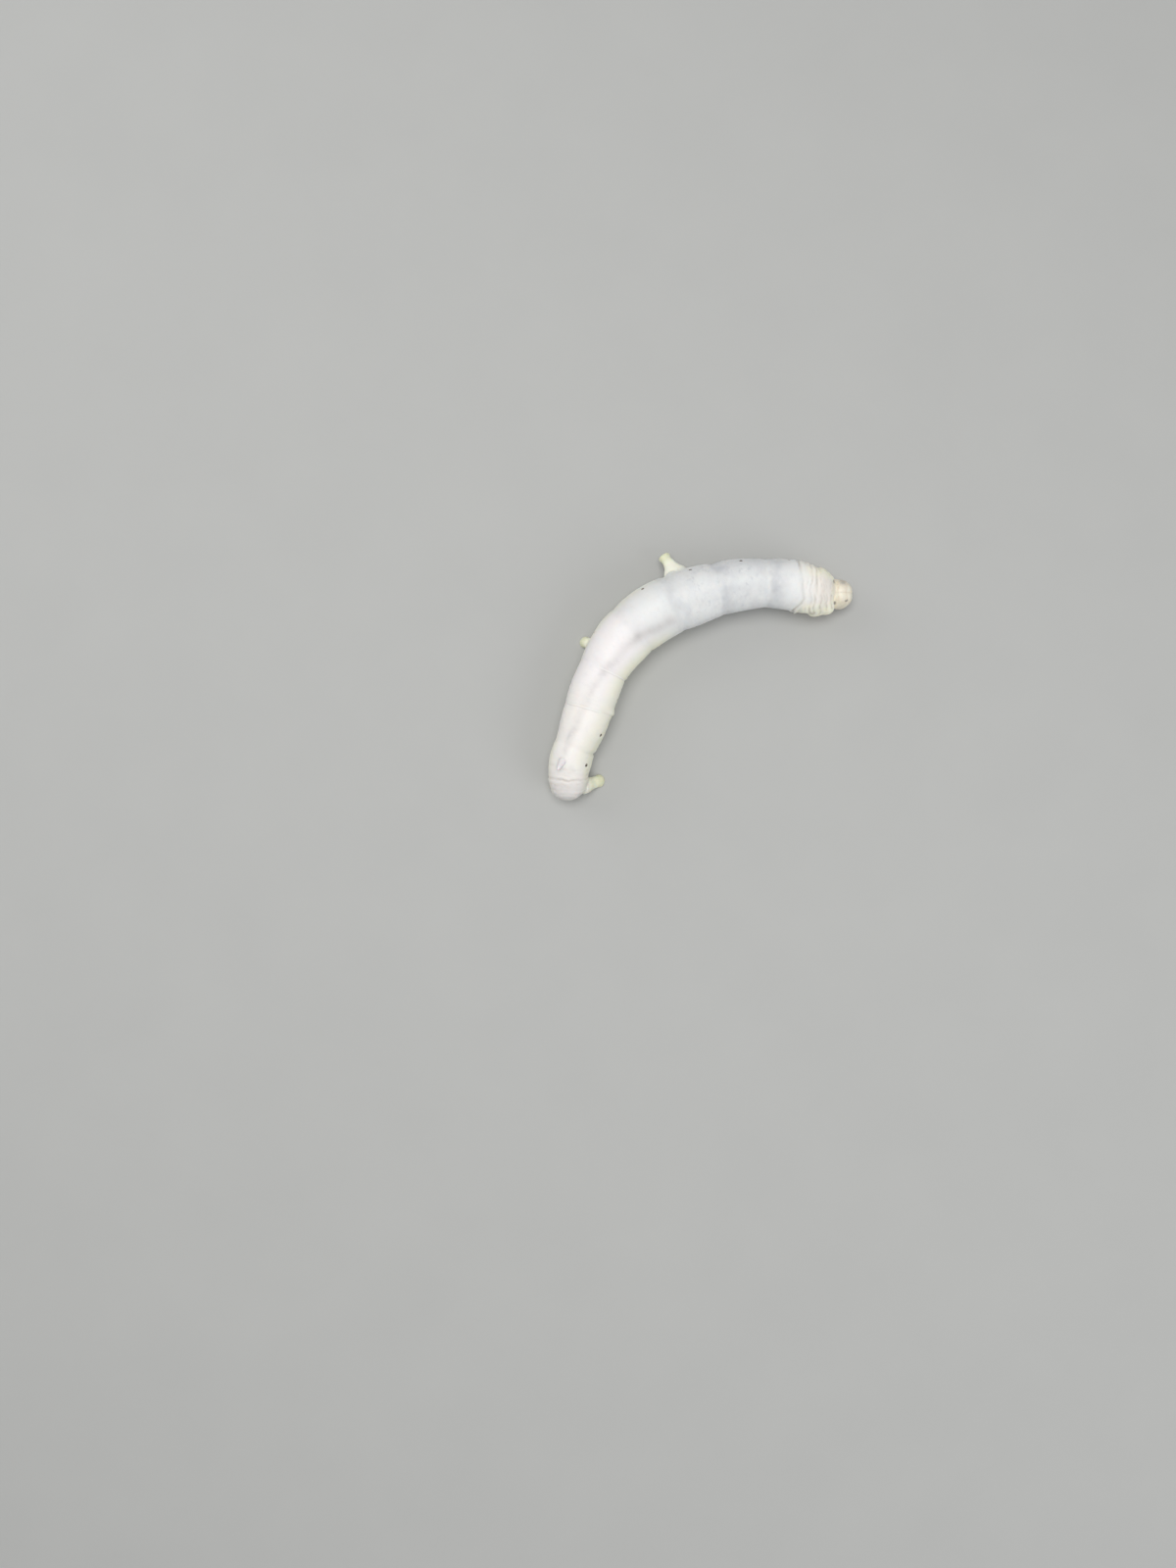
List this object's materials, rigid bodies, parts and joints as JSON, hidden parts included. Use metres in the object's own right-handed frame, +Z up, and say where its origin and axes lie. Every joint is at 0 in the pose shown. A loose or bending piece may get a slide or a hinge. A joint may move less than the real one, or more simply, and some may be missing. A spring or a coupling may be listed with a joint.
{
  "type": "silkworm",
  "caption": "Life-size still model of a full-grown silkworm resting on its prolegs, body bent in a wide arc to its right, head low.",
  "frame": {"origin": "middle of the bounding box, on the floor that the animal rests on", "axes": "+X the way the head points, along the model's longest extent; +Y to the animal's left; +Z up"},
  "size_m": [0.052, 0.0426, 0.011],
  "materials": {
    "head_shell": "satin",
    "thorax_skin": "soft matt",
    "abdomen_skin": "soft matt",
    "proleg_skin": "soft matt",
    "leg_shell": "satin",
    "mouth_shell": "satin",
    "eye_lens": "gloss"
  },
  "bodies": {
    "root": {"head": "head_shell", "stemmata_left": "eye_lens", "stemmata_right": "eye_lens", "antenna_left": "leg_shell", "antenna_right": "leg_shell", "mouthparts": "mouth_shell", "thorax_1": "thorax_skin", "thorax_2": "thorax_skin", "thorax_3": "thorax_skin", "leg_1_left": "leg_shell", "leg_1_right": "leg_shell", "leg_2_left": "leg_shell", "leg_2_right": "leg_shell", "leg_3_left": "leg_shell", "leg_3_right": "leg_shell", "abdomen_1": "abdomen_skin", "abdomen_2": "abdomen_skin", "abdomen_3": "abdomen_skin", "abdomen_4": "abdomen_skin", "abdomen_5": "abdomen_skin", "abdomen_6": "abdomen_skin", "abdomen_7": "abdomen_skin", "abdomen_8": "abdomen_skin", "abdomen_9": "abdomen_skin", "abdomen_10": "abdomen_skin", "caudal_horn": "abdomen_skin", "proleg_3_left": "proleg_skin", "proleg_3_right": "proleg_skin", "proleg_4_left": "proleg_skin", "proleg_4_right": "proleg_skin", "proleg_5_left": "proleg_skin", "proleg_5_right": "proleg_skin", "proleg_6_left": "proleg_skin", "proleg_6_right": "proleg_skin", "clasper_left": "proleg_skin", "clasper_right": "proleg_skin"}
  },
  "joints": []
}
